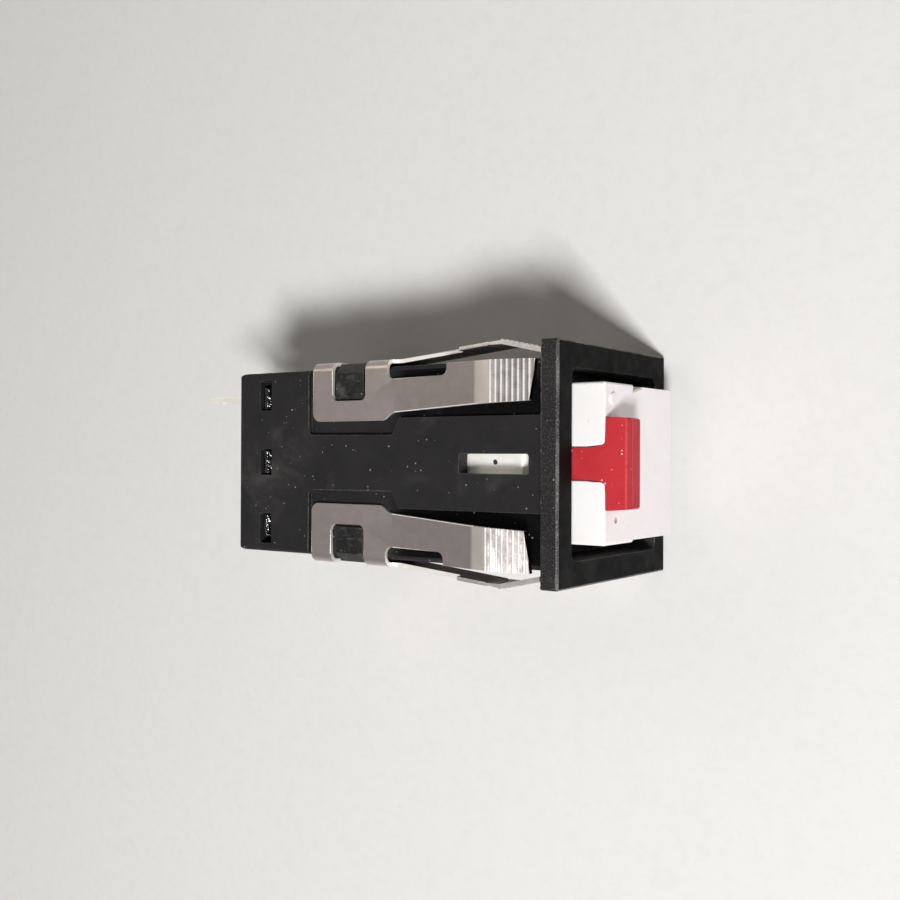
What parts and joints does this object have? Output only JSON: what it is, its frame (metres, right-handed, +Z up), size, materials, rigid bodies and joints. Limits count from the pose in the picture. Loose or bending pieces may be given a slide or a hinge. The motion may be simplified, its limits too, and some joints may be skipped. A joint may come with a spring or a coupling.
{
  "type": "pushbutton switch",
  "caption": "Square lighted pushbutton switch for a panel cut-out, held by toothed spring clips, with a white button, a red T-shaped key and rear solder terminals.",
  "frame": {"origin": "middle of the panel seat, which is the back face of the bezel", "axes": "+X forward out of the panel, along the travel of the button; +Z up, through the face with the key; +Y to the left seen from behind the panel"},
  "size_m": [0.0501, 0.021, 0.0214],
  "materials": {
    "black_plastic": "moulded black thermoset with a fine grain",
    "base_plastic": "moulded black",
    "spring_steel": "rolled stainless spring steel",
    "white_plastic": "moulded white",
    "red_plastic": "moulded red",
    "natural_nylon": "natural nylon",
    "lamp_glass": "clear",
    "contact_brass": "rolled",
    "plated_metal": "tin plated",
    "spring_wire": "drawn wire",
    "contact_silver": "silver"
  },
  "bodies": {
    "frame": {"housing": "black_plastic", "terminal_base": "base_plastic", "clip_left": "spring_steel", "clip_right": "spring_steel", "lamp_strip_upper": "plated_metal", "lamp_strip_lower": "plated_metal", "return_spring": "spring_wire", "common_terminal": "plated_metal", "open_terminal": "plated_metal", "closed_terminal": "plated_metal", "open_contact": "contact_silver", "closed_contact": "contact_silver"},
    "pusher": {"button": "white_plastic", "button_key": "red_plastic", "plunger": "natural_nylon", "lamp": "lamp_glass", "lamp_contact_upper": "contact_brass", "lamp_contact_lower": "contact_brass"},
    "blade": {"snap_blade": "contact_brass", "blade_contact": "contact_silver"}
  },
  "joints": [
    {"name": "button_press", "type": "slide", "parent": "frame", "child": "pusher", "axis": [1, 0, 0], "range_m": [-0.0025, 0], "stiffness_N_per_m": 300, "springref_m": 0.004, "deforming": ["return_spring"]},
    {"name": "blade_swing", "type": "hinge", "parent": "frame", "child": "blade", "pos_m": [-0.0205, 0.0052, -0.00458], "axis": [0, 1, 0], "range_deg": [-4.5, 0]}
  ],
  "couplings": [
    {"joint": "blade_swing", "follows": "button_press", "rad_per_m": 31.416}
  ]
}
